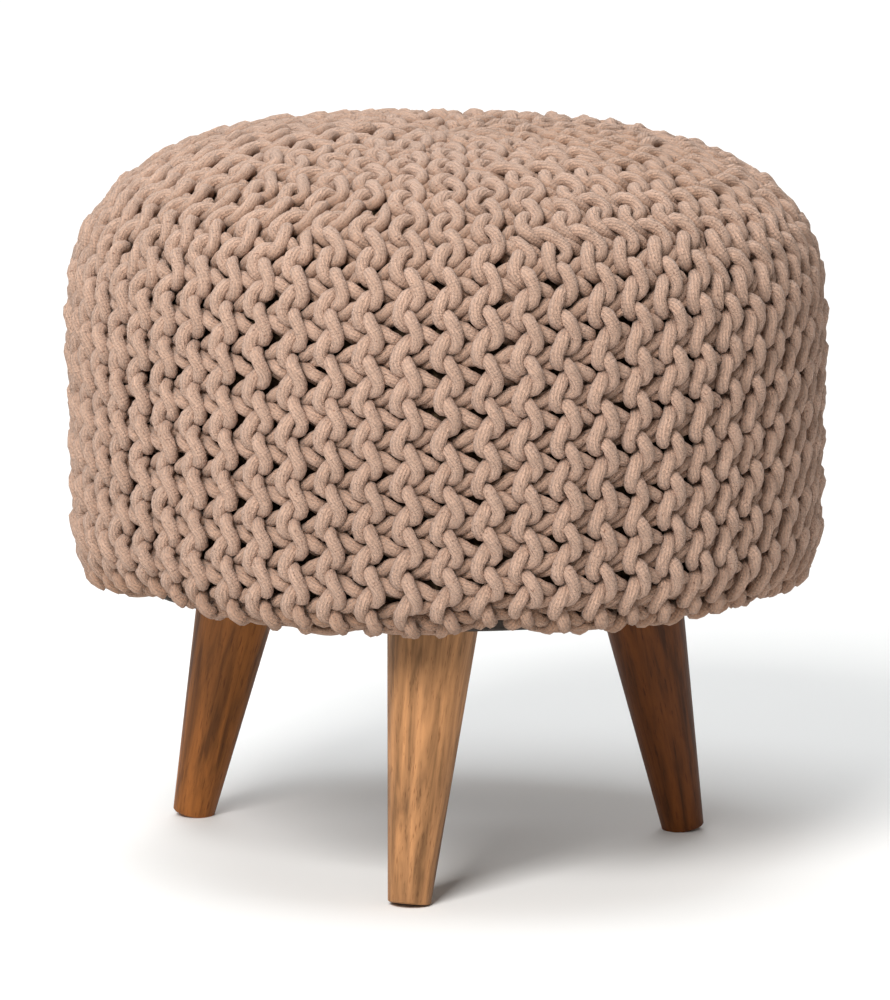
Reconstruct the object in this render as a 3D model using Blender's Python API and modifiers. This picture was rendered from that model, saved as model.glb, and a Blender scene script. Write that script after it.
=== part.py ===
"""Round footstool: a knitted, filled seat on a round board with three splayed wooden legs.

Metres, +Z up. The origin is on the floor under the middle of the seat, and the front faces -Y.
The seat is one filled solid with a crowned top, rounded shoulders and a drawn-in hem. Its
knitted ridges run from the hem over the shoulders to the middle of the top, and are raised as
ribs. The cover's hem goes down round the edge of the board, which carries the legs.
"""

import math

import bpy
from mathutils import Vector

# Driving dimensions
SEAT_DIAMETER = 0.420
STOOL_HEIGHT = 0.4035
BOARD_UNDERSIDE = 0.153
GAP = 0.0003

# Seat
SEAT_RADIUS = SEAT_DIAMETER / 2
WIDEST_HEIGHT = 0.291
CROWN_RISE = STOOL_HEIGHT - WIDEST_HEIGHT
CROWN_FULLNESS = 3.0
CROWN_ROWS = 11
WAIST_RADIUS = SEAT_RADIUS - 0.0020
WAIST_HEIGHT = 0.190
SIDE_ROWS = 4
HEM_RADIUS = 0.187
HEM_HEIGHT = 0.147
HEM_FULLNESS = 2.2
HEM_ROWS = 4
HEM_LIP = 0.005

# Unevenness of the seat
CROWN_LEAN = 0.0018
CROWN_LUMPS = 0.0012
SIDE_SWELL = 0.003

# Radii between which the lean and the lumps of the crown fade in or out
LEAN_IN = (0.0, 0.050)
LEAN_OUT = (0.130, 0.185)
LUMPS_IN = (0.03, 0.12)

# Knitted ridges
RIBS = 60
RIB_DEPTH = 0.0050
RIB_STEPS = 4 * RIBS

# Radii between which the ribs come in on the crown, and where only every second rib goes on
RIBS_IN = (0.0, 0.060)
RIM_RIBS = (0.100, 0.135)
MIDDLE_RIBS = (0.045, 0.070)

# Board under the seat
BOARD_RADIUS = 0.175
BOARD_THICKNESS = 0.012
BOARD_EDGE = 0.0015
BOARD_STEPS = 72

# Legs
LEG_TOP_RADIUS = 0.0250
LEG_FOOT_RADIUS = 0.0117
LEG_SOLE_EDGE = 0.0008
LEG_TRIM = 0.012
LEG_STEPS = 48
SOLE_FLAT = 0.0015

# Each leg: name, then x and y where its axis meets the board, then x and y of its foot
LEG_PLACES = (
    ("leg_front", (-0.007, -0.128), (-0.020, -0.155)),
    ("leg_left", (-0.111, 0.066), (-0.142, 0.077)),
    ("leg_right", (0.104, 0.030), (0.132, 0.039)),
)

# Where the hem is pulled up or hangs: azimuth from the front and half width in degrees
HEM_PULLS = (
    # azimuth, rise, half width
    (-92.0, -0.0075, 14.0),
    (-55.0, 0.0075, 10.0),
    (8.0, 0.0060, 7.0),
    (92.0, -0.0075, 16.0),
    (140.0, 0.004, 16.0),
    (196.0, 0.005, 22.0),
)

CUTTER_SIZE = 0.8


def front_azimuth(point):
    """Angle of a point about the stool's axis, from the front and positive towards +X."""
    return math.atan2(point.x, -point.y)


def smooth_step(low, high, value):
    """Rise smoothly from 0 at low to 1 at high."""
    share = min(1.0, max(0.0, (value - low) / (high - low)))
    return share * share * (3.0 - 2.0 * share)


def arc_row(share):
    """Angle from the level, for rows that run evenly down a quarter arc."""
    return math.radians(90.0 * (1.0 - share))


def crown_points():
    """Half section of the crown, from the middle of the top out to the widest ring."""
    power = 2.0 / CROWN_FULLNESS
    points = [(0.0, STOOL_HEIGHT)]
    for row in range(1, CROWN_ROWS + 1):
        angle = arc_row(row / CROWN_ROWS)
        radius = SEAT_RADIUS * math.cos(angle) ** power
        height = WIDEST_HEIGHT + CROWN_RISE * max(0.0, math.sin(angle)) ** power
        points.append((radius, height))
    return points


def side_points():
    """Half section of the nearly upright side, below the widest ring."""
    points = []
    for row in range(1, SIDE_ROWS + 1):
        share = row / SIDE_ROWS
        radius = SEAT_RADIUS + share * (WAIST_RADIUS - SEAT_RADIUS)
        points.append((radius, WIDEST_HEIGHT + share * (WAIST_HEIGHT - WIDEST_HEIGHT)))
    return points


def hem_points():
    """Half section of the rounded lower edge, the lip and the hollow that holds the board."""
    power = 2.0 / HEM_FULLNESS
    points = []
    for row in range(1, HEM_ROWS + 1):
        angle = arc_row(1.0 - row / HEM_ROWS)
        radius = HEM_RADIUS + (WAIST_RADIUS - HEM_RADIUS) * max(0.0, math.cos(angle)) ** power
        height = WAIST_HEIGHT - (WAIST_HEIGHT - HEM_HEIGHT) * math.sin(angle) ** power
        points.append((radius, height))
    hollow_radius = BOARD_RADIUS + GAP
    hollow_height = BOARD_UNDERSIDE + BOARD_THICKNESS + GAP
    points.append((hollow_radius + HEM_LIP, HEM_HEIGHT + 0.0005))
    points.append((hollow_radius, BOARD_UNDERSIDE))
    points.append((hollow_radius, hollow_height))
    points.append((0.0, hollow_height))
    return points


def turned_object(name, points, steps):
    """Turn a half section, given from its top to its bottom, about Z with a Screw modifier."""
    mesh = bpy.data.meshes.new(name)
    corners = [(radius, 0.0, height) for radius, height in points]
    edges = [(index, index + 1) for index in range(len(corners) - 1)]
    mesh.from_pydata(corners, edges, [])
    turned = bpy.data.objects.new(name, mesh)
    screw = turned.modifiers.new("turn", "SCREW")
    screw.axis = "Z"
    screw.steps = steps
    screw.render_steps = steps
    screw.use_merge_vertices = True
    screw.merge_threshold = 0.00001
    screw.use_smooth_shade = True
    return turned


def apply_modifiers(thing):
    """Keep the evaluated mesh as the object's own, so that its points can be moved."""
    depsgraph = bpy.context.evaluated_depsgraph_get()
    mesh = bpy.data.meshes.new_from_object(thing.evaluated_get(depsgraph))
    mesh.name = thing.name
    thing.modifiers.clear()
    thing.data = mesh


def rib_height(azimuth, radius):
    """Height of the ribs from 0 to 1. Every second rib ends on the crown, and again near its middle."""
    outer = 0.5 + 0.5 * math.cos(RIBS * azimuth)
    middle = 0.5 + 0.5 * math.cos(RIBS / 2 * azimuth)
    inner = 0.5 + 0.5 * math.cos(RIBS / 4 * azimuth)
    near_rim = smooth_step(*RIM_RIBS, radius)
    near_middle = 1.0 - smooth_step(*MIDDLE_RIBS, radius)
    height = near_rim * outer + (1.0 - near_rim) * middle
    return (1.0 - near_middle) * height + near_middle * inner


def raise_ribs(mesh):
    """Sink the furrows between the knitted ridges, on the outside of the seat only."""
    shifts = []
    for vertex in mesh.vertices:
        radius = math.hypot(vertex.co.x, vertex.co.y)
        azimuth = front_azimuth(vertex.co)
        outside = smooth_step(HEM_RADIUS - 0.002, HEM_RADIUS + 0.012, radius)
        if vertex.co.z > WIDEST_HEIGHT:
            outside = smooth_step(*RIBS_IN, radius)
        depth = RIB_DEPTH * outside * (1.0 - rib_height(azimuth, radius))
        shifts.append(-depth * vertex.normal)
    for vertex, shift in zip(mesh.vertices, shifts):
        vertex.co += shift


def hem_rise(azimuth):
    """How far the hem is pulled up at an azimuth."""
    rise = 0.0
    for place, height, half_width in HEM_PULLS:
        away = (math.degrees(azimuth) - place + 180.0) % 360.0 - 180.0
        rise += height * math.exp(-((away / half_width) ** 2))
    return rise


def settle_seat(mesh):
    """Make the seat as uneven as a hand-made cover: a leaning crown, soft sides and a wavy hem."""
    for vertex in mesh.vertices:
        point = vertex.co
        radius = math.hypot(point.x, point.y)
        azimuth = front_azimuth(point)
        crown = smooth_step(WIDEST_HEIGHT, STOOL_HEIGHT, point.z)
        leaning = smooth_step(*LEAN_IN, radius) * (1.0 - smooth_step(*LEAN_OUT, radius))
        lean = -CROWN_LEAN * leaning * math.sin(azimuth) * crown
        lumps = CROWN_LUMPS * crown * math.sin(3.0 * azimuth + 0.8) * smooth_step(*LUMPS_IN, radius)
        low = 1.0 - smooth_step(HEM_HEIGHT, WAIST_HEIGHT, point.z)
        outside = smooth_step(BOARD_RADIUS + 0.002, BOARD_RADIUS + 0.006, radius)
        point.z += lean + lumps + low * outside * hem_rise(azimuth)
        side = smooth_step(0.15, 0.19, radius) * (1.0 - low) * (1.0 - crown)
        swell = 1.0 + SIDE_SWELL * side * (math.sin(4.0 * azimuth + 0.5) - 1.0)
        point.x *= swell
        point.y *= swell


def build_seat():
    """The knitted cover and its filling as one solid."""
    points = crown_points() + side_points() + hem_points()
    seat = turned_object("knitted_seat", points, RIB_STEPS)
    bpy.context.scene.collection.objects.link(seat)
    apply_modifiers(seat)
    bpy.context.scene.collection.objects.unlink(seat)
    raise_ribs(seat.data)
    settle_seat(seat.data)
    seat.data.shade_smooth()
    return seat


def build_board():
    """The round board that the legs screw into, with a small rounded edge."""
    top = BOARD_UNDERSIDE + BOARD_THICKNESS
    points = [
        (0.0, top),
        (BOARD_RADIUS - BOARD_EDGE, top),
        (BOARD_RADIUS, top - BOARD_EDGE),
        (BOARD_RADIUS, BOARD_UNDERSIDE + BOARD_EDGE),
        (BOARD_RADIUS - BOARD_EDGE, BOARD_UNDERSIDE),
        (0.0, BOARD_UNDERSIDE),
    ]
    return turned_object("base_board", points, BOARD_STEPS)


def build_leg(name, top_place, foot_place, cutters):
    """A tapered leg on its splayed axis, cut level under the board and square at its sole."""
    top = Vector((*top_place, BOARD_UNDERSIDE))
    foot = Vector((*foot_place, 0.0))
    axis = top - foot
    splay = axis.angle(Vector((0.0, 0.0, 1.0)))
    foot.z = LEG_FOOT_RADIUS * math.sin(splay) - SOLE_FLAT
    axis = top - foot
    length = axis.length
    taper = (LEG_TOP_RADIUS - LEG_FOOT_RADIUS) / length
    full_length = length + LEG_TRIM
    points = [
        (0.0, full_length),
        (LEG_FOOT_RADIUS + taper * full_length, full_length),
        (LEG_FOOT_RADIUS, LEG_SOLE_EDGE),
        (LEG_FOOT_RADIUS - LEG_SOLE_EDGE, 0.0),
        (0.0, 0.0),
    ]
    leg = turned_object(name, points, LEG_STEPS)
    leg.location = foot
    leg.rotation_euler = axis.to_track_quat("Z", "Y").to_euler()
    for cutter in cutters:
        cut = leg.modifiers.new(cutter.name, "BOOLEAN")
        cut.operation = "DIFFERENCE"
        cut.solver = "EXACT"
        cut.object = cutter
    return leg


def build_cutter(name, collection, bottom):
    """A large box from the given height upwards, which takes its space out of the legs."""
    bpy.ops.mesh.primitive_cube_add(size=CUTTER_SIZE, location=(0.0, 0.0, bottom + CUTTER_SIZE / 2))
    cutter = bpy.context.object
    cutter.name = name
    for owner in list(cutter.users_collection):
        owner.objects.unlink(cutter)
    collection.objects.link(cutter)
    cutter.hide_render = True
    cutter.display_type = "WIRE"
    return cutter


def make_material(name, colour, roughness):
    """A plain finish in the colour of the real surface."""
    material = bpy.data.materials.new(name)
    material.use_nodes = True
    surface = material.node_tree.nodes["Principled BSDF"]
    surface.inputs["Base Color"].default_value = (*colour, 1.0)
    surface.inputs["Roughness"].default_value = roughness
    surface.inputs["Metallic"].default_value = 0.0
    return material


def finish(thing, collection, parent, material):
    """Put a piece in the stool's collection, with its parent and its finish."""
    collection.objects.link(thing)
    thing.parent = parent
    thing.data.materials.append(material)


def clear_scene():
    """Start from an empty scene."""
    for thing in list(bpy.data.objects):
        bpy.data.objects.remove(thing, do_unlink=True)


def new_collection(name):
    """A named collection in the scene."""
    collection = bpy.data.collections.new(name)
    bpy.context.scene.collection.children.link(collection)
    return collection


def main():
    clear_scene()
    stool = new_collection("round_footstool")
    cutting = new_collection("cutters")
    root = bpy.data.objects.new("footstool_origin", None)
    stool.objects.link(root)
    board_cutter = build_cutter("space_above_legs", cutting, BOARD_UNDERSIDE - GAP)
    floor_cutter = build_cutter("space_below_floor", cutting, -CUTTER_SIZE)
    yarn = make_material("knitted_yarn", (0.47, 0.34, 0.27), 0.95)
    finish(build_seat(), stool, root, yarn)
    board = make_material("board", (0.06, 0.045, 0.035), 0.8)
    finish(build_board(), stool, root, board)
    for name, top_place, foot_place in LEG_PLACES:
        wood = make_material(name + "_wood", (0.33, 0.17, 0.08), 0.42)
        leg = build_leg(name, top_place, foot_place, (board_cutter, floor_cutter))
        finish(leg, stool, root, wood)


main()
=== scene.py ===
"""Looks of the round knitted footstool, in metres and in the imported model's frame.

The seat's cover is knitted in thick cotton cord. Its ridges run from the hem over the shoulders
to the middle of the top, and shorter ridges end on the crown, so that the stitches keep their
size. Every ridge is one cord that goes up through its hooks and comes down through its cross
strands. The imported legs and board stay, with a finish of their own.
"""

import math

import bpy
import numpy as np
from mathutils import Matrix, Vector


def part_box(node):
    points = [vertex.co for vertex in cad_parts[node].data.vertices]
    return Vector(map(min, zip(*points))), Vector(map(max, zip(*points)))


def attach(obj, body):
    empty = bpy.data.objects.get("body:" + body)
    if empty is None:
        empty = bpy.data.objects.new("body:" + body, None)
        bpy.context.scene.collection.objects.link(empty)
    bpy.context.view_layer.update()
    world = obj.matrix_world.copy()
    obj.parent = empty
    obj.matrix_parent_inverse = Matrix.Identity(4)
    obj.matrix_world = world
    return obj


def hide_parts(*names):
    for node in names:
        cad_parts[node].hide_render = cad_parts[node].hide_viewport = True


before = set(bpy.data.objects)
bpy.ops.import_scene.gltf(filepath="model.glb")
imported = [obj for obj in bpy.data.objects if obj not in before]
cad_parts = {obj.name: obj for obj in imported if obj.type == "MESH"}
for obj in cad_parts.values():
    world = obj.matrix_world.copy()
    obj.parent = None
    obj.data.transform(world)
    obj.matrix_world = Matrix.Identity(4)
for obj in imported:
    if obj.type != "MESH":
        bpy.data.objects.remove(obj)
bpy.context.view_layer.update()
chance = np.random.default_rng(20)

# The seat's outer form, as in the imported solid
SEAT_RADIUS = 0.210
STOOL_HEIGHT = 0.4035
WIDEST_HEIGHT = 0.291
CROWN_FULLNESS = 3.0
WAIST_RADIUS = 0.208
WAIST_HEIGHT = 0.190
HEM_FULLNESS = 2.2
PIECE_GAP = 0.0003

# The dimple in the middle of the top, where the ridges are drawn together
DIMPLE_DEPTH = 0.004
DIMPLE_RADIUS = 0.018

# Unevenness of the seat: sizes, then how often a form comes round the seat and where it starts
CROWN_LEAN = 0.0018
CROWN_LUMPS = 0.0012
LUMPS_ROUND = 3.0
LUMPS_START = 0.8
SIDE_SWELL = 0.003
SWELLS_ROUND = 4.0
SWELLS_START = 0.5

# Radii between which the lean, the lumps and the soft sides fade in or out
LEAN_IN = (0.0, 0.050)
LEAN_OUT = (0.130, 0.185)
LUMPS_IN = (0.03, 0.12)
SWELL_IN = (0.15, 0.19)

# Where the hem is pulled up or hangs
HEM_PULLS = (
    # azimuth from the front in degrees, rise, half width in degrees
    (-92.0, -0.0075, 14.0),
    (-55.0, 0.0075, 10.0),
    (8.0, 0.0060, 7.0),
    (92.0, -0.0075, 16.0),
    (140.0, 0.004, 16.0),
    (196.0, 0.005, 22.0),
)

# The knitted cover's own section
COVER_REACH = 0.0104
HEM_RADIUS = 0.1790
HEM_HEIGHT = 0.1590
HEM_DEPTH_SHARE = 0.5
CROWN_STEPS = 400
SIDE_STEPS = 60
HEM_STEPS = 80

# Stitches
STITCH_LENGTH = 0.0229
STITCH_DEPTH = 0.0165
STITCH_HEIGHT = 0.2712
STITCH_UNEVENNESS = (0.030, 0.045, 0.030)
CROWN_FLATTENING = 0.20
CROWN_WIDENING = 0.60
FLAT_CROWN_SHARE = 0.4

# Ridges. In every wedge of six, each ends on the crown at the distance that its rank gives. The
# room that a ridge leaves free at its top and at the hem, and its drift, are counted in stitches.
RIDGES = 60
WEDGE_ENDS = (2, 4, 6, 1, 5, 3)
RIDGE_STATIONS = 500
RIDGE_FADE = 0.011
RIDGE_END_SCATTER = 0.007
RIDGE_END_WIDTH = 0.55
RIDGE_END_SINK = 0.35
RIDGE_TOP_ROOM = 0.25
RIDGE_HEM_ROOM = 1.0
RIDGE_DRIFT = 0.07

# Cord
CORD_RADIUS = 0.0037
CORD_TWIST = 70.0
CORD_UNEVENNESS = 0.045
CORD_SWELL = 0.05
CORD_SWELL_PACE = 0.37
CORD_SWELL_SHIFT = 1.9
CORD_GRAIN_SHIFT = 3.1
CORD_SIDES = 9
RING_SPACING = 0.0030
CURVE_STEPS = 6
SMALLEST_TURN = 1e-12
PIECES = 6

# One stitch of the course whose loops show as hooks, going down the ridge. across is counted from
# the ridge's middle in ridge widths, along in stitches, and out from the cover's middle in stitches.
HOOK_COURSE = (
    # across, along, out, thickness
    (0.262, 0.03, 0.320, 1.00),
    (0.275, 0.13, 0.280, 1.00),
    (0.245, 0.23, 0.230, 1.00),
    (0.165, 0.300, 0.150, 1.00),
    (0.055, 0.330, 0.060, 0.97),
    (-0.080, 0.335, -0.010, 0.95),
    (-0.220, 0.340, -0.010, 0.97),
    (-0.370, 0.375, 0.020, 0.98),
    (-0.510, 0.440, 0.020, 0.98),
    (-0.680, 0.55, -0.040, 0.92),
    (-0.820, 0.61, -0.190, 0.88),
    (-0.860, 0.68, -0.400, 0.86),
    (-0.730, 0.73, -0.500, 0.86),
    (-0.560, 0.72, -0.340, 0.86),
    (-0.430, 0.67, -0.140, 0.86),
    (-0.270, 0.61, -0.030, 0.88),
    (-0.120, 0.575, 0.020, 0.90),
    (0.000, 0.575, 0.130, 0.94),
    (0.055, 0.615, 0.300, 0.98),
    (0.090, 0.68, 0.400, 1.00),
    (0.145, 0.78, 0.410, 1.00),
    (0.212, 0.90, 0.370, 1.00),
)

# One stitch of the next course, whose strands cross the ridge the other way
CROSS_COURSE = (
    # across, along, out, thickness
    (-0.225, 0.55, 0.270, 1.06),
    (-0.210, 0.65, 0.250, 1.04),
    (-0.150, 0.735, 0.160, 1.00),
    (-0.040, 0.785, 0.000, 0.95),
    (0.110, 0.80, -0.170, 0.90),
    (0.270, 0.83, -0.120, 0.90),
    (0.420, 0.89, 0.060, 0.95),
    (0.560, 0.965, 0.120, 0.97),
    (0.700, 1.04, 0.070, 0.96),
    (0.810, 1.11, -0.070, 0.90),
    (0.900, 1.22, -0.260, 0.86),
    (0.860, 1.30, -0.420, 0.86),
    (0.700, 1.26, -0.420, 0.88),
    (0.540, 1.16, -0.310, 0.90),
    (0.370, 1.04, -0.190, 0.90),
    (0.200, 0.99, -0.050, 0.92),
    (0.065, 1.05, 0.110, 0.96),
    (-0.040, 1.15, 0.270, 1.02),
    (-0.125, 1.28, 0.320, 1.06),
    (-0.195, 1.42, 0.300, 1.06),
)

# Where a ridge's cord turns from its hooks to its cross strands. The top stitch of each course
# starts at the row given here.
FIRST_HOOK_ROW = 17
FIRST_CROSS_ROW = 3
RIDGE_TURN = (
    # across, along from the first stitch, out, thickness
    (-0.06, -0.50, 0.02, 0.9),
    (0.02, -0.34, -0.08, 0.9),
)

# How a ridge's cord is drawn in under the hem. Some end in a knob that hangs lower than others.
HEM_KNOBS = (0.0, 0.05, 0.12, 0.36)
HEM_END = (
    # across, along from the last stitch, share of the knob, out, thickness
    (-0.20, 1.66, 0.0, 0.30, 1.0),
    (-0.08, 1.80, 1.0, 0.22, 1.0),
    (0.08, 1.86, 1.0, 0.06, 1.0),
    (0.20, 1.74, 0.0, -0.12, 0.9),
    (0.14, 1.60, 0.0, -0.29, 0.9),
)

# The thinner cord that gathers the hem
HEM_CORD_RADIUS = 0.0024
HEM_CORD_INSET = 0.003
HEM_CORD_DROP = 0.0044
HEM_CORD_STEPS = 360
HEM_CORD_SWAYS = (
    # size, waves round the hem, start
    (0.0022, 11.0, 0.0),
    (0.0018, 23.0, 1.0),
)
HEM_CORD_RISES = (
    # size, waves round the hem, start
    (0.0013, 17.0, 2.0),
    (0.0010, 31.0, 0.0),
)

# The filling under the cover
FILLING_DEPTH = 0.0082
FILLING_ROWS = 60
FILLING_TURNS = 120

# The cord's braid, and how much fibres, strands and braid add to its colour and its relief
BRAID_STRANDS = 6.0
BRAID_LENGTH = 0.0030
BRAID_WOBBLE = 8.0
FIBRE_COLOUR = 0.6
STRAND_COLOUR = 0.4
BRAID_COLOUR = 0.05
STRAND_RELIEF = 0.6
BRAID_RELIEF = 0.12

# Colours
WHITE = (1.0, 1.0, 1.0)
CORD_LIGHT = (0.66, 0.445, 0.338)
CORD_SHADE = (0.357, 0.216, 0.152)
# Painted shade for the cord: strands that lie deep under the seat's outer form take this darker,
# warmer colour
CORD_PAINTED_SHADE = (0.34, 0.186, 0.110)
CORD_PATCH = (0.90, 0.89, 0.88)
CORD_SPECK = (0.50, 0.42, 0.38)
LINING_DARK = (0.048, 0.028, 0.017)
LINING_THREAD = (0.150, 0.112, 0.062)
BOARD_DARK = (0.018, 0.013, 0.010)
BOARD_FELT = (0.055, 0.042, 0.034)
WOOD_PORE = (0.45, 0.38, 0.33)
FLOOR_PALE = (0.90, 0.90, 0.90)
SURROUND = (1.0, 0.955, 0.90)

# Wood of each leg, the side legs darker as painted shade, and how dark and light its grain is against
# that
LEG_TINTS_WITH_PAINTED_SHADE = {
    "leg_front": (0.325, 0.158, 0.066),
    "leg_left": (0.235, 0.082, 0.018),
    "leg_right": (0.118, 0.034, 0.005),
}
GRAIN_DARK = 0.45
GRAIN_LIGHT = 1.45

# Factors on places, two across and the last one along, that draw a noise out along wood or cord
GRAIN_STRETCH = (1.0, 1.0, 0.06)
FIBRE_STRETCH = (7.0, 7.0, 800.0)
STRAND_STRETCH = (1.6, 1.6, 130.0)

# Heights of the slices that give the middle of a leg's top and of its foot
LEG_TOP_SLICE = 0.002
LEG_FOOT_SLICE = 0.006

# Floor, lights and surround
FLOOR_HALF = 6.0
SURROUND_STRENGTH = 0.27
SEAT_MIDDLE = (0.0, 0.0, 0.25)
LIGHTS = (
    # name, place, target, size, power, colour
    ("key", (-0.92, -2.25, 2.15), SEAT_MIDDLE, 1.4, 113.0, (1.0, 0.985, 0.96)),
    ("top", (-0.2, 0.1, 2.6), SEAT_MIDDLE, 1.6, 34.0, (0.90, 0.965, 1.0)),
    ("back", (0.0, 3.4, 2.6), (0.0, 3.3, 0.0), 2.6, 75.0, WHITE),
)

# The photograph's view, its elevation in degrees. One pixel covers PIXEL_SIZE at the stool.
CAMERA_DISTANCE = 5.2
CAMERA_ELEVATION = 10.2
CAMERA_TARGET = (-0.0008, 0.0, 0.1931)
CAMERA_REACH = 50.0
PIXEL_SIZE = 0.00055
PICTURE_HEIGHT = 1000
SENSOR_WIDTH = 36.0


def smooth_step(low, high, value):
    """Rise smoothly from 0 at low to 1 at high, for numbers or arrays."""
    share = np.clip((value - low) / (high - low), 0.0, 1.0)
    return share * share * (3.0 - 2.0 * share)


def waves(azimuth, table):
    """The sum of a table's waves at each azimuth."""
    total = np.zeros_like(azimuth)
    for size, count, start in table:
        total += size * np.sin(count * azimuth + start)
    return total


def length_along(path):
    """Distance of each point of a path from its first, along the path."""
    lengths = np.linalg.norm(np.diff(path, axis=0), axis=1)
    return np.concatenate([[0.0], np.cumsum(lengths)])


class Section:
    """The seat's half section at a depth under its outer form, read by the distance from the pole."""

    def __init__(self, depth):
        radius, height = self.outline(depth)
        steps = np.hypot(np.diff(radius), np.diff(height))
        self.way = np.concatenate([[0.0], np.cumsum(steps)])
        self.radius = radius
        self.height = height
        out_radius = -np.gradient(height, self.way)
        out_height = np.gradient(radius, self.way)
        size = np.hypot(out_radius, out_height)
        self.out_radius = out_radius / size
        self.out_height = out_height / size
        self.length = self.way[-1]
        self.widest = self.way[np.argmax(radius)]

    def outline(self, depth):
        """Radius and height from the middle of the top down to the hem."""
        parts = [self.crown(depth), self.side(depth), self.hem(depth)]
        radius = np.concatenate([part[0] for part in parts])
        height = np.concatenate([part[1] for part in parts])
        return radius, height

    @staticmethod
    def crown(depth):
        """The full crown, with its dimple, out to the widest ring."""
        power = 2.0 / CROWN_FULLNESS
        angle = np.linspace(0.5 * math.pi, 0.0, CROWN_STEPS)
        rise = STOOL_HEIGHT - depth - WIDEST_HEIGHT
        radius = (SEAT_RADIUS - depth) * np.abs(np.cos(angle)) ** power
        height = WIDEST_HEIGHT + rise * np.abs(np.sin(angle)) ** power
        height -= DIMPLE_DEPTH * np.exp(-((radius / DIMPLE_RADIUS) ** 2))
        radius[0] = 0.0
        return radius, height

    @staticmethod
    def side(depth):
        """The nearly upright side, down to the waist."""
        share = np.linspace(0.0, 1.0, SIDE_STEPS)[1:]
        radius = SEAT_RADIUS - depth + share * (WAIST_RADIUS - SEAT_RADIUS)
        height = WIDEST_HEIGHT + share * (WAIST_HEIGHT - WIDEST_HEIGHT)
        return radius, height

    @staticmethod
    def hem(depth):
        """The rounded lower edge, drawn in towards the board."""
        power = 2.0 / HEM_FULLNESS
        angle = np.linspace(0.0, 0.5 * math.pi, HEM_STEPS)[1:]
        inner = HEM_RADIUS - HEM_DEPTH_SHARE * (depth - COVER_REACH)
        radius = inner + (WAIST_RADIUS - depth - inner) * np.abs(np.cos(angle)) ** power
        height = WAIST_HEIGHT - (WAIST_HEIGHT - HEM_HEIGHT) * np.sin(angle) ** power
        return radius, height

    def read(self, values, way):
        """One of the section's lists, read at distances from the pole."""
        return np.interp(way, self.way, values)


def hem_rise(azimuth):
    """How far the hem is pulled up at each azimuth."""
    rise = np.zeros_like(azimuth)
    for place, pull, half_width in HEM_PULLS:
        away = (np.degrees(azimuth) - place + 180.0) % 360.0 - 180.0
        rise += pull * np.exp(-((away / half_width) ** 2))
    return rise


def settle(points, azimuth):
    """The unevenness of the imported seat: a leaning crown, soft sides and a wavy hem."""
    radius = np.hypot(points[..., 0], points[..., 1])
    height = points[..., 2]
    crown = smooth_step(WIDEST_HEIGHT, STOOL_HEIGHT, height)
    leaning = smooth_step(*LEAN_IN, radius) * (1.0 - smooth_step(*LEAN_OUT, radius))
    lean = -CROWN_LEAN * leaning * np.sin(azimuth) * crown
    lumps = CROWN_LUMPS * crown * np.sin(LUMPS_ROUND * azimuth + LUMPS_START)
    lumps *= smooth_step(*LUMPS_IN, radius)
    low = 1.0 - smooth_step(HEM_HEIGHT, WAIST_HEIGHT, height)
    side = smooth_step(*SWELL_IN, radius) * (1.0 - low) * (1.0 - crown)
    swell = 1.0 + SIDE_SWELL * side * (np.sin(SWELLS_ROUND * azimuth + SWELLS_START) - 1.0)
    settled = points.copy()
    settled[..., 0] *= swell
    settled[..., 1] *= swell
    settled[..., 2] += lean + lumps + low * hem_rise(azimuth)
    return settled


def turned(radius, azimuth, height):
    """Points at a radius and a height, turned about the stool's axis to an azimuth."""
    return np.stack([radius * np.sin(azimuth), -radius * np.cos(azimuth), height], axis=-1)


def place_on(section, azimuth, way, out):
    """Points in space from an azimuth, a distance from the pole and a height over the section."""
    radius = section.read(section.radius, way)
    height = section.read(section.height, way)
    out_radius = section.read(section.out_radius, way)
    out_height = section.read(section.out_height, way)
    base = settle(turned(radius, azimuth, height), azimuth)
    return base + turned(out_radius, azimuth, out_height) * out[..., None]


class Ridges:
    """Where every ridge runs: its azimuth at each distance from the pole, and where it ends."""

    def __init__(self, section):
        self.way = np.linspace(0.0, section.length, RIDGE_STATIONS)
        radius = section.read(section.radius, self.way)
        full = section.radius.max()
        radius = np.where(self.way > section.widest, full, radius)
        wedge = len(WEDGE_ENDS)
        self.top = np.zeros(RIDGES)
        shares = np.ones((RIDGES, RIDGE_STATIONS))
        for ridge in range(RIDGES):
            rank = WEDGE_ENDS[ridge % wedge]
            end = full * (rank - 0.5) / wedge
            if rank > 1:
                end += chance.uniform(-RIDGE_END_SCATTER, RIDGE_END_SCATTER)
                shares[ridge] = smooth_step(end - RIDGE_FADE, end + RIDGE_FADE, radius)
            self.top[ridge] = np.interp(end, radius, self.way)
        self.pitch = 2.0 * math.pi / shares.sum(axis=0)
        middle = np.cumsum(shares, axis=0) - 0.5 * shares
        self.azimuth = (middle - middle[0]) * self.pitch
        self.shares = shares

    def azimuth_at(self, ridge, way, across):
        """Azimuth of points that lie across ridge widths from the middle of a ridge."""
        middle = np.interp(way, self.way, self.azimuth[ridge])
        pitch = np.interp(way, self.way, self.pitch)
        return middle + across * pitch * np.maximum(self.share_at(ridge, way), RIDGE_END_WIDTH)

    def share_at(self, ridge, way):
        """How full a ridge is, from 0 past its end on the crown to 1 well below it."""
        return np.interp(way, self.way, self.shares[ridge])


def smooth_path(points, steps):
    """A smooth curve through control points, with the same number of steps between each two."""
    ends = np.vstack([2.0 * points[0] - points[1], points, 2.0 * points[-1] - points[-2]])
    before, start, end, after = ends[:-3], ends[1:-2], ends[2:-1], ends[3:]
    curve = []
    for step in range(steps):
        share = step / steps
        slope = (end - before) * share
        bend = (2.0 * before - 5.0 * start + 4.0 * end - after) * share**2
        turn = (3.0 * start - before - 3.0 * end + after) * share**3
        curve.append(0.5 * (2.0 * start + slope + bend + turn))
    body = np.stack(curve, axis=1).reshape(-1, points.shape[1])
    return np.vstack([body, points[-1:]])


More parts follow.
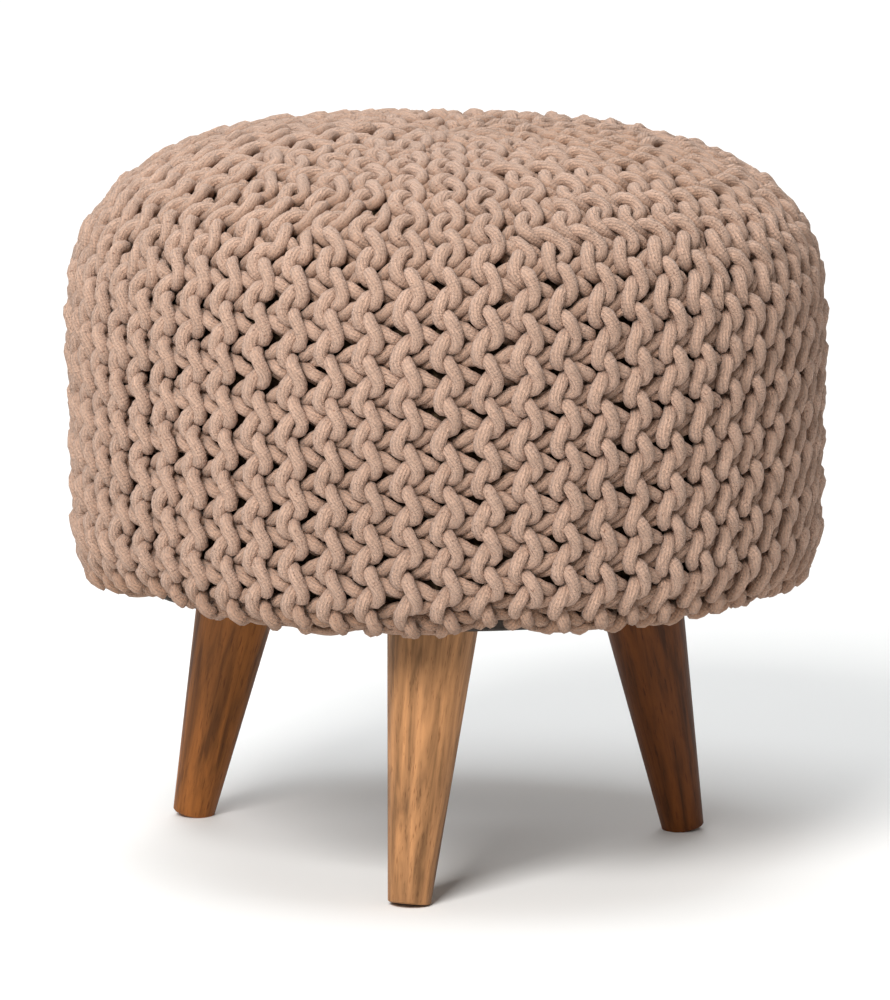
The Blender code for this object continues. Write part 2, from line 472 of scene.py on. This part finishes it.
def course_points(course, first, last):
    """Control points of the stitches first to last of a course, each a little different."""
    rows = []
    shifts = chance.normal(0.0, 1.0, (last - first + 2, 3)) * STITCH_UNEVENNESS
    for number, stitch in enumerate(range(first, last + 1)):
        for index, (across, along, out, thickness) in enumerate(course):
            share = index / len(course)
            shift = (1.0 - share) * shifts[number] + share * shifts[number + 1]
            rows.append([*(np.array([across, stitch + along, out]) + shift), thickness])
    return np.array(rows)


def ridge_points(first, last):
    """Control points of a ridge's cord: up its hooks, round its end, down its cross strands."""
    hooks = course_points(HOOK_COURSE, first - 1, last)[FIRST_HOOK_ROW:]
    cross = course_points(CROSS_COURSE, first - 1, last)[FIRST_CROSS_ROW:]
    turn = [(across, first + along, out, thickness) for across, along, out, thickness in RIDGE_TURN]
    knob = chance.choice(HEM_KNOBS)
    hem = []
    for across, along, knob_share, out, thickness in HEM_END:
        hem.append((across, last + along + knob_share * knob, out, thickness))
    return np.vstack([hooks[::-1], turn, cross, hem])


def ridge_cord(ridges, section, ridge):
    """The path and radius of one ridge's cord, from the hem up and back down to the hem."""
    origin = np.interp(-STITCH_HEIGHT, -section.height, section.way)
    drift = chance.uniform(-RIDGE_DRIFT, RIDGE_DRIFT)
    last = math.floor((section.length - origin) / STITCH_LENGTH - RIDGE_HEM_ROOM)
    first = math.floor((ridges.top[ridge] - origin) / STITCH_LENGTH + RIDGE_TOP_ROOM)
    path = smooth_path(ridge_points(first, last), CURVE_STEPS)
    way = origin + (path[:, 1] + drift) * STITCH_LENGTH
    crown = smooth_step(section.widest, FLAT_CROWN_SHARE * section.widest, way)
    full_turn = 2.0 * math.pi
    across = path[:, 0] + CROWN_WIDENING * crown * np.sin(full_turn * path[:, 0]) / full_turn
    azimuth = ridges.azimuth_at(ridge, way, across)
    sink = RIDGE_END_SINK * (1.0 - ridges.share_at(ridge, way))
    out = path[:, 2] * (1.0 - CROWN_FLATTENING * crown) - sink
    points = place_on(section, azimuth, way, out * STITCH_DEPTH)
    return np.column_stack([points, path[:, 3] * CORD_RADIUS])


def even_steps(path, spacing):
    """The same path and radii with the points an even distance apart."""
    along = length_along(path[:, :3])
    count = max(2, int(round(along[-1] / spacing)))
    stations = np.linspace(0.0, along[-1], count + 1)
    return np.stack([np.interp(stations, along, column) for column in path.T], axis=1)


def mirrored(vector, direction):
    """A vector mirrored in the plane that a direction is square to."""
    return vector - direction * (2.0 * direction.dot(vector) / direction.dot(direction))


def turning_frames(path):
    """A side direction at each point of a path, turned as little as possible along it."""
    tangents = np.gradient(path, axis=0)
    tangents /= np.linalg.norm(tangents, axis=1)[:, None]
    side = Vector(tangents[0]).orthogonal().normalized()
    sides = [side]
    for index in range(1, len(path)):
        step = Vector(path[index] - path[index - 1])
        side = mirrored(side, step)
        change = Vector(tangents[index]) - mirrored(Vector(tangents[index - 1]), step)
        if change.length_squared > SMALLEST_TURN:
            side = mirrored(side, change)
        side = side.normalized()
        sides.append(side)
    sides = np.array([tuple(side) for side in sides])
    return sides, np.cross(tangents, sides)


def cord_rings(path, radius, sides):
    """Rings of points round a path, with each point's angle and its distance along the cord."""
    first, second = turning_frames(path)
    angles = np.linspace(0.0, 2.0 * math.pi, sides, endpoint=False)
    round_first = first[:, None, :] * np.cos(angles)[None, :, None]
    round_second = second[:, None, :] * np.sin(angles)[None, :, None]
    uneven = 1.0 + CORD_UNEVENNESS * chance.normal(0.0, 1.0, (len(path), sides, 1))
    points = path[:, None, :] + radius[:, None, None] * uneven * (round_first + round_second)
    along = np.repeat(length_along(path)[:, None], sides, axis=1)
    twisted = angles[None, :] + CORD_TWIST * along
    grain = np.stack([np.cos(twisted), np.sin(twisted), along], axis=-1)
    return points.reshape(-1, 3), grain.reshape(-1, 3)


def ring_faces(rings, sides, start):
    """Quads between neighbouring rings, and a cap on each end."""
    here = np.arange(sides)[None, :] + np.arange(rings - 1)[:, None] * sides
    beside = np.roll(here, -1, axis=1)
    quads = np.stack([here, beside, beside + sides, here + sides], axis=-1)
    faces = (quads.reshape(-1, 4) + start).tolist()
    faces.append(list(range(start + sides - 1, start - 1, -1)))
    end = start + (rings - 1) * sides
    faces.append(list(range(end, end + sides)))
    return faces


def new_piece(name, points, faces, material):
    """An object of the stool from points and faces, shaded smooth and riding on its one body."""
    mesh = bpy.data.meshes.new(name)
    mesh.from_pydata(points.tolist(), [], faces)
    mesh.shade_smooth()
    mesh.materials.append(material)
    piece = bpy.data.objects.new(name, mesh)
    bpy.context.scene.collection.objects.link(piece)
    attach(piece, "root")
    return piece


def stand_for_seat():
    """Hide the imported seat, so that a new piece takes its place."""
    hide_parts("knitted_seat")


def add_values(piece, name, kind, field, values):
    """Store values for each point of a piece, for its material."""
    attribute = piece.data.attributes.new(name, kind, "POINT")
    attribute.data.foreach_set(field, np.asarray(values, dtype=np.float32).ravel())


def cord_piece(name, paths, material):
    """One piece from several cords, each a path of points with a radius."""
    all_points, all_grain, all_shade_depth, faces = [], [], [], []
    start = 0
    for number, path in enumerate(paths):
        path = even_steps(path, RING_SPACING)
        rings = np.arange(len(path))
        swell = 1.0 + CORD_SWELL * np.sin(rings * CORD_SWELL_PACE + number * CORD_SWELL_SHIFT)
        points, grain = cord_rings(path[:, :3], path[:, 3] * swell, CORD_SIDES)
        grain[:, 2] += number * CORD_GRAIN_SHIFT
        all_points.append(points)
        all_grain.append(grain)
        # Each point's depth under the outer form, which the cord's material turns into painted shade
        all_shade_depth.append(depth_under(points))
        faces += ring_faces(len(path), CORD_SIDES, start)
        start += len(points)
    piece = new_piece(name, np.vstack(all_points), faces, material)
    add_values(piece, "cord_grain", "FLOAT_VECTOR", "vector", np.vstack(all_grain))
    add_values(piece, "cord_shade_depth", "FLOAT", "value", np.concatenate(all_shade_depth))
    stand_for_seat()


def depth_under(points):
    """How far points lie under the seat's outer form, from 0 outside to 1 at its deepest."""
    radius = np.hypot(points[:, 0], points[:, 1])
    crown = np.maximum(points[:, 2] - WIDEST_HEIGHT, 0.0)
    power = CROWN_FULLNESS
    inner = (radius / SEAT_RADIUS) ** power + (crown / (STOOL_HEIGHT - WIDEST_HEIGHT)) ** power
    inner = inner ** (1.0 / power)
    return np.clip((1.0 - inner) * SEAT_RADIUS / (2.0 * COVER_REACH), 0.0, 1.0)


class Finish:
    """A node material, with short ways to add nodes and to join them to its Principled shader."""

    def __init__(self, name):
        self.material = bpy.data.materials.new(name)
        self.material.use_nodes = True
        self.tree = self.material.node_tree
        self.shader = self.tree.nodes["Principled BSDF"]
        self.link = self.tree.links.new

    def add(self, kind, **settings):
        """A new node. A setting that starts with in_ is the value of the socket it names."""
        node = self.tree.nodes.new(kind)
        for key, value in settings.items():
            if key.startswith("in_"):
                node.inputs[key[3:].replace("_", " ")].default_value = value
            else:
                setattr(node, key, value)
        return node

    def object_place(self):
        """Places in the object's own space."""
        return self.add("ShaderNodeTexCoord").outputs["Object"]

    def stretched(self, place, factors):
        """Places multiplied by one factor for each direction."""
        node = self.add("ShaderNodeVectorMath", operation="MULTIPLY")
        node.inputs[1].default_value = factors
        self.link(place, node.inputs[0])
        return node.outputs["Vector"]

    def noise(self, place, **settings):
        """Noise at the given places."""
        node = self.add("ShaderNodeTexNoise", **settings)
        self.link(place, node.inputs["Vector"])
        return node.outputs["Fac"]

    def calculated(self, operation, *values):
        """One operation on numbers or on what other nodes give."""
        node = self.add("ShaderNodeMath", operation=operation)
        for socket, value in zip(node.inputs, values):
            if isinstance(value, float):
                socket.default_value = value
            else:
                self.link(value, socket)
        return node.outputs["Value"]

    def ramp(self, value, stops):
        """A colour ramp with (place, colour) stops, read at a value."""
        node = self.add("ShaderNodeValToRGB")
        elements = node.color_ramp.elements
        elements.remove(elements[1])
        elements[0].position = stops[0][0]
        elements[0].color = (*stops[0][1], 1.0)
        for place, colour in stops[1:]:
            elements.new(place).color = (*colour, 1.0)
        self.link(value, node.inputs["Fac"])
        return node.outputs["Color"]

    def multiplied(self, first, second, strength):
        """Two colours multiplied with the given strength."""
        node = self.add("ShaderNodeMix", data_type="RGBA", blend_type="MULTIPLY")
        node.inputs["Factor"].default_value = strength
        self.link(first, node.inputs["A"])
        self.link(second, node.inputs["B"])
        return node.outputs["Result"]

    def colour(self, source):
        """Use what a node gives as the surface's colour."""
        self.link(source, self.shader.inputs["Base Color"])

    def relief(self, height, strength, distance):
        """Use what a node gives as the surface's relief."""
        bump = self.add("ShaderNodeBump", in_Strength=strength, in_Distance=distance)
        self.link(height, bump.inputs["Height"])
        self.link(bump.outputs["Normal"], self.shader.inputs["Normal"])


def braid_pattern(finish, grain, fibres):
    """The cord's braid: two sets of strands that wind round it in both directions."""
    parts = finish.add("ShaderNodeSeparateXYZ")
    finish.link(grain, parts.inputs["Vector"])
    angle = finish.calculated("ARCTAN2", parts.outputs["Y"], parts.outputs["X"])
    around = finish.calculated("MULTIPLY", angle, BRAID_STRANDS)
    along = finish.calculated("MULTIPLY", parts.outputs["Z"], 2.0 * math.pi / BRAID_LENGTH)
    wobble = finish.calculated("MULTIPLY", fibres, BRAID_WOBBLE)
    rising = finish.calculated("ADD", finish.calculated("ADD", around, along), wobble)
    falling = finish.calculated("SUBTRACT", finish.calculated("ADD", around, wobble), along)
    rising = finish.calculated("SINE", rising)
    falling = finish.calculated("SINE", falling)
    return finish.calculated("MULTIPLY", rising, falling)


def cord_material():
    """Matt cotton cord: a fine braid, loose fibres along it, small specks, and painted shade that
    makes it darker and warmer in the depth.
    """
    finish = Finish("cotton_cord")
    calculated = finish.calculated
    grain = finish.add("ShaderNodeAttribute", attribute_name="cord_grain").outputs["Vector"]
    depth = finish.add("ShaderNodeAttribute", attribute_name="cord_shade_depth").outputs["Fac"]
    fibre_place = finish.stretched(grain, FIBRE_STRETCH)
    fibres = finish.noise(fibre_place, in_Scale=1.0, in_Detail=3.0, in_Roughness=0.65)
    strand_place = finish.stretched(grain, STRAND_STRETCH)
    strands = finish.noise(strand_place, in_Scale=1.0, in_Detail=2.0, in_Roughness=0.65)
    braid = braid_pattern(finish, grain, fibres)

    fibre_share = calculated("MULTIPLY", fibres, FIBRE_COLOUR)
    strand_share = calculated("MULTIPLY", strands, STRAND_COLOUR)
    braid_share = calculated("MULTIPLY", braid, BRAID_COLOUR)
    shade = calculated("ADD", calculated("ADD", fibre_share, strand_share), braid_share)
    front = finish.ramp(shade, [(0.20, CORD_SHADE), (0.80, CORD_LIGHT)])
    # Painted shade: the deeper a strand lies under the seat's outer form, the more its colour is
    # mixed towards a darker, warmer one
    painted_shade_share = finish.add("ShaderNodeMapRange", in_From_Min=0.25, in_From_Max=0.85, in_To_Max=0.8)
    finish.link(depth, painted_shade_share.inputs["Value"])
    painted_shade = finish.add("ShaderNodeMix", data_type="RGBA", blend_type="MIX")
    painted_shade.inputs["B"].default_value = (*CORD_PAINTED_SHADE, 1.0)
    finish.link(painted_shade_share.outputs["Result"], painted_shade.inputs["Factor"])
    finish.link(front, painted_shade.inputs["A"])
    place = finish.object_place()
    patches = finish.noise(place, in_Scale=14.0, in_Detail=2.0)
    patch_tint = finish.ramp(patches, [(0.3, CORD_PATCH), (0.7, WHITE)])
    patchy = finish.multiplied(painted_shade.outputs["Result"], patch_tint, 1.0)
    specks = finish.noise(place, in_Scale=700.0, in_Detail=1.0)
    speck_tint = finish.ramp(specks, [(0.25, CORD_SPECK), (0.34, WHITE)])
    finish.colour(finish.multiplied(patchy, speck_tint, 1.0))

    height = calculated("ADD", fibres, calculated("MULTIPLY", strands, STRAND_RELIEF))
    height = calculated("ADD", height, calculated("MULTIPLY", braid, BRAID_RELIEF))
    finish.relief(height, strength=1.0, distance=0.0016)
    finish.shader.inputs["Roughness"].default_value = 0.95
    finish.shader.inputs["Specular IOR Level"].default_value = 0.10
    finish.shader.inputs["Sheen Weight"].default_value = 0.20
    finish.shader.inputs["Sheen Roughness"].default_value = 0.6
    return finish.material


def lining_material():
    """Dark cloth under the cover, with a coarse weave and a few olive threads."""
    finish = Finish("dark_lining")
    weave = finish.noise(finish.object_place(), in_Scale=420.0, in_Detail=3.0)
    finish.colour(finish.ramp(weave, [(0.45, LINING_DARK), (0.72, LINING_THREAD)]))
    finish.relief(weave, strength=0.4, distance=0.0006)
    finish.shader.inputs["Roughness"].default_value = 0.95
    finish.shader.inputs["Specular IOR Level"].default_value = 0.1
    return finish.material


def wood_material(name, foot, top, wood_and_shade_tint):
    """Brown wood with long grain along the leg, pores and a thin satin lacquer, over a tint that
    holds painted shade on the side legs.
    """
    finish = Finish(name)
    axis = Vector(top) - Vector(foot)
    upright = finish.add("ShaderNodeMapping", vector_type="POINT")
    upright.inputs["Rotation"].default_value = axis.to_track_quat("Z", "Y").inverted().to_euler()
    finish.link(finish.object_place(), upright.inputs["Vector"])
    grain = finish.stretched(upright.outputs["Vector"], GRAIN_STRETCH)
    bands = finish.noise(grain, in_Scale=150.0, in_Detail=4.0, in_Roughness=0.6, in_Distortion=0.4)
    pores = finish.noise(grain, in_Scale=900.0, in_Detail=2.0, in_Roughness=0.7)
    # The tint is the wood's colour, made darker on the left and right legs as painted shade; the
    # grain goes darker and lighter around it
    dark = tuple(GRAIN_DARK * part for part in wood_and_shade_tint)
    light = tuple(GRAIN_LIGHT * part for part in wood_and_shade_tint)
    grained = finish.ramp(bands, [(0.34, dark), (0.50, wood_and_shade_tint), (0.66, light)])
    pore_tint = finish.ramp(pores, [(0.30, WOOD_PORE), (0.42, WHITE)])
    finish.colour(finish.multiplied(grained, pore_tint, 0.8))
    finish.relief(pores, strength=0.25, distance=0.0004)
    finish.shader.inputs["Roughness"].default_value = 0.55
    finish.shader.inputs["Specular IOR Level"].default_value = 0.18
    finish.shader.inputs["Coat Weight"].default_value = 0.04
    finish.shader.inputs["Coat Roughness"].default_value = 0.35
    return finish.material


def board_material():
    """The dark board under the seat, with a felt-like cover cloth."""
    finish = Finish("dark_board")
    felt = finish.noise(finish.object_place(), in_Scale=300.0, in_Detail=4.0)
    finish.colour(finish.ramp(felt, [(0.35, BOARD_DARK), (0.70, BOARD_FELT)]))
    finish.relief(felt, strength=0.3, distance=0.0005)
    finish.shader.inputs["Roughness"].default_value = 0.9
    return finish.material


def floor_material():
    """A plain pale floor."""
    finish = Finish("pale_floor")
    finish.shader.inputs["Base Color"].default_value = (*FLOOR_PALE, 1.0)
    finish.shader.inputs["Roughness"].default_value = 0.9
    return finish.material


def build_cover(section, material):
    """All ridges of the cover, joined into a few pieces."""
    ridges = Ridges(section)
    share = RIDGES // PIECES
    for number in range(PIECES):
        paths = []
        for ridge in range(number * share, (number + 1) * share):
            paths.append(ridge_cord(ridges, section, ridge))
        cord_piece(f"knitted_cover_{number + 1}", paths, material)


def build_hem_cord(section, material):
    """The cord that gathers the hem, a little uneven, round the edge of the board."""
    azimuth = np.linspace(0.0, 2.0 * math.pi, HEM_CORD_STEPS + 1)
    way = section.length - HEM_CORD_INSET + waves(azimuth, HEM_CORD_SWAYS)
    out = HEM_CORD_DROP + waves(azimuth, HEM_CORD_RISES)
    path = place_on(section, azimuth, way, out)
    path = np.column_stack([path, np.full(len(path), HEM_CORD_RADIUS)])
    cord_piece("hem_cord", [path], material)


def filling_faces():
    """Faces of the filling: a fan round its top point, bands down its side, and its underside."""
    faces = []
    for turn in range(FILLING_TURNS):
        following = (turn + 1) % FILLING_TURNS
        faces.append([1 + turn, 1 + following, 0])
        for row in range(FILLING_ROWS - 1):
            upper = 1 + row * FILLING_TURNS
            lower = upper + FILLING_TURNS
            faces.append([upper + turn, lower + turn, lower + following, upper + following])
    lowest = 1 + (FILLING_ROWS - 1) * FILLING_TURNS
    faces.append(list(range(lowest + FILLING_TURNS - 1, lowest - 1, -1)))
    return faces


def build_filling(material):
    """The filled seat under the knitted cover, closed above the board."""
    section = Section(COVER_REACH + FILLING_DEPTH)
    way = np.linspace(0.0, section.length, FILLING_ROWS + 1)[1:]
    azimuth = np.linspace(0.0, 2.0 * math.pi, FILLING_TURNS, endpoint=False)
    grid_way, grid_azimuth = np.meshgrid(way, azimuth, indexing="ij")
    body = place_on(section, grid_azimuth, grid_way, np.zeros_like(grid_way)).reshape(-1, 3)
    board_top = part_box("base_board")[1][2]
    body[:, 2] = np.maximum(body[:, 2], board_top + PIECE_GAP)
    top = place_on(section, np.zeros(1), np.zeros(1), np.zeros(1))
    piece = new_piece("seat_filling", np.vstack([top, body]), filling_faces(), material)
    stand_for_seat()


def finish_legs():
    """Each packed leg keeps its shape and gets wood whose grain follows its own axis, darker on the
    side legs as painted shade.
    """
    for name, wood_and_shade_tint in LEG_TINTS_WITH_PAINTED_SHADE.items():
        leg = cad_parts[name]
        corners = np.array([tuple(vertex.co) for vertex in leg.data.vertices])
        height = corners[:, 2]
        top = corners[height > height.max() - LEG_TOP_SLICE].mean(axis=0)
        foot = corners[height < LEG_FOOT_SLICE].mean(axis=0)
        leg.data.materials.clear()
        leg.data.materials.append(wood_material(name + "_wood", foot, top, wood_and_shade_tint))


def finish_board():
    """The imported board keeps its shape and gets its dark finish."""
    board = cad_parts["base_board"]
    board.data.materials.clear()
    board.data.materials.append(board_material())


def build_floor():
    """A wide plain floor, which isn't part of the stool."""
    half = FLOOR_HALF
    mesh = bpy.data.meshes.new("floor")
    corners = [(-half, -half, 0.0), (half, -half, 0.0), (half, half, 0.0), (-half, half, 0.0)]
    mesh.from_pydata(corners, [], [(0, 1, 2, 3)])
    mesh.materials.append(floor_material())
    floor = bpy.data.objects.new("floor", mesh)
    bpy.context.scene.collection.objects.link(floor)


def add_area_light(name, place, target, size, power, colour):
    """A soft square light that looks at a point."""
    light = bpy.data.lights.new(name, "AREA")
    light.size = size
    light.energy = power
    light.color = colour
    lamp = bpy.data.objects.new(name, light)
    lamp.location = place
    lamp.rotation_euler = (Vector(target) - Vector(place)).to_track_quat("-Z", "Y").to_euler()
    bpy.context.scene.collection.objects.link(lamp)


def build_light():
    """Soft daylight from the upper left and above, a lit floor behind and a pale surround."""
    for light in LIGHTS:
        add_area_light(*light)
    world = bpy.data.worlds.new("surround")
    world.use_nodes = True
    background = world.node_tree.nodes["Background"]
    background.inputs["Color"].default_value = (*SURROUND, 1.0)
    background.inputs["Strength"].default_value = SURROUND_STRENGTH
    bpy.context.scene.world = world
    bpy.context.scene.view_settings.view_transform = "Standard"


def build_camera():
    """The photograph's view: from the front, a little above, from far away with a long lens."""
    elevation = math.radians(CAMERA_ELEVATION)
    camera = bpy.data.cameras.new("camera")
    camera.sensor_fit = "AUTO"
    camera.sensor_width = SENSOR_WIDTH
    camera.lens = CAMERA_DISTANCE / PIXEL_SIZE * SENSOR_WIDTH / PICTURE_HEIGHT
    camera.clip_end = CAMERA_REACH
    eye = bpy.data.objects.new("camera", camera)
    back = Vector((0.0, -math.cos(elevation), math.sin(elevation)))
    eye.location = Vector(CAMERA_TARGET) + CAMERA_DISTANCE * back
    eye.rotation_euler = (-back).to_track_quat("-Z", "Y").to_euler()
    bpy.context.scene.collection.objects.link(eye)
    bpy.context.scene.camera = eye


def main():
    build_camera()
    build_light()
    build_floor()
    cover = Section(COVER_REACH)
    cord = cord_material()
    build_cover(cover, cord)
    build_hem_cord(cover, cord)
    build_filling(lining_material())
    finish_legs()
    finish_board()


main()
